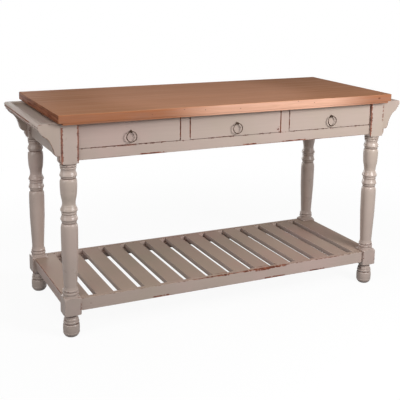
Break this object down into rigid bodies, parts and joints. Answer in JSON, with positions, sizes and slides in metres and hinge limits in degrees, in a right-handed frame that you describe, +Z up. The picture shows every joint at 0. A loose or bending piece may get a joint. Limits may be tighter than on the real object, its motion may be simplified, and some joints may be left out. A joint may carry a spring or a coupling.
{
  "type": "kitchen island",
  "caption": "Painted wooden kitchen island: stained wood top, turned legs, inset drawers with ring pulls, bracketed end shelves and a slatted lower shelf.",
  "frame": {"origin": "floor under the middle of the top", "axes": "+X along the length, -Y to the drawer fronts, +Z up"},
  "size_m": [1.69, 0.645, 0.914],
  "materials": {
    "top_wood": "stained and waxed",
    "paint": "distressed paint on wood",
    "bare_wood": "bare softwood",
    "bronze": "dark antique bronze"
  },
  "bodies": {
    "frame": {"apron_back": "paint", "apron_left": "paint", "apron_right": "paint", "bracket_back_left": "paint", "bracket_back_right": "paint", "bracket_front_left": "paint", "bracket_front_right": "paint", "divider_left": "paint", "divider_right": "paint", "drawer_guides": "bare_wood", "drawer_kickers": "bare_wood", "drawer_runners": "bare_wood", "drawer_stops": "bare_wood", "end_rail_left": "paint", "end_rail_right": "paint", "end_shelf_left": "paint", "end_shelf_right": "paint", "end_slat_left": "paint", "end_slat_right": "paint", "leg_back_left": "paint", "leg_back_right": "paint", "leg_front_left": "paint", "leg_front_right": "paint", "rail_front_lower": "paint", "rail_front_upper": "paint", "shelf_cleats": "paint", "shelf_rail_back": "paint", "shelf_rail_front": "paint", "shelf_rail_left": "paint", "shelf_rail_right": "paint", "shelf_slats": "paint", "top_strip_back": "top_wood", "top_strip_front": "top_wood", "worktop": "top_wood"},
    "drawer_1": {"drawer_1_back": "bare_wood", "drawer_1_bottom": "bare_wood", "drawer_1_front": "paint", "drawer_1_side_left": "bare_wood", "drawer_1_side_right": "bare_wood", "pull_eye_1": "bronze"},
    "ring_1": {"pull_ring_1": "bronze"},
    "drawer_2": {"drawer_2_back": "bare_wood", "drawer_2_bottom": "bare_wood", "drawer_2_front": "paint", "drawer_2_side_left": "bare_wood", "drawer_2_side_right": "bare_wood", "pull_eye_2": "bronze"},
    "ring_2": {"pull_ring_2": "bronze"},
    "drawer_3": {"drawer_3_back": "bare_wood", "drawer_3_bottom": "bare_wood", "drawer_3_front": "paint", "drawer_3_side_left": "bare_wood", "drawer_3_side_right": "bare_wood", "pull_eye_3": "bronze"},
    "ring_3": {"pull_ring_3": "bronze"}
  },
  "joints": [
    {"name": "drawer_1_slide", "type": "slide", "parent": "frame", "child": "drawer_1", "axis": [0, -1, 0], "range_m": [0, 0.35]},
    {"name": "ring_1_swing", "type": "hinge", "parent": "drawer_1", "child": "ring_1", "pos_m": [-0.472, -0.296, 0.8265], "axis": [-1, 0, 0], "range_deg": [-12, 192]},
    {"name": "drawer_2_slide", "type": "slide", "parent": "frame", "child": "drawer_2", "axis": [0, -1, 0], "range_m": [0, 0.35]},
    {"name": "ring_2_swing", "type": "hinge", "parent": "drawer_2", "child": "ring_2", "pos_m": [0, -0.296, 0.8265], "axis": [-1, 0, 0], "range_deg": [-12, 192]},
    {"name": "drawer_3_slide", "type": "slide", "parent": "frame", "child": "drawer_3", "axis": [0, -1, 0], "range_m": [0, 0.35]},
    {"name": "ring_3_swing", "type": "hinge", "parent": "drawer_3", "child": "ring_3", "pos_m": [0.472, -0.296, 0.8265], "axis": [-1, 0, 0], "range_deg": [-12, 192]}
  ]
}
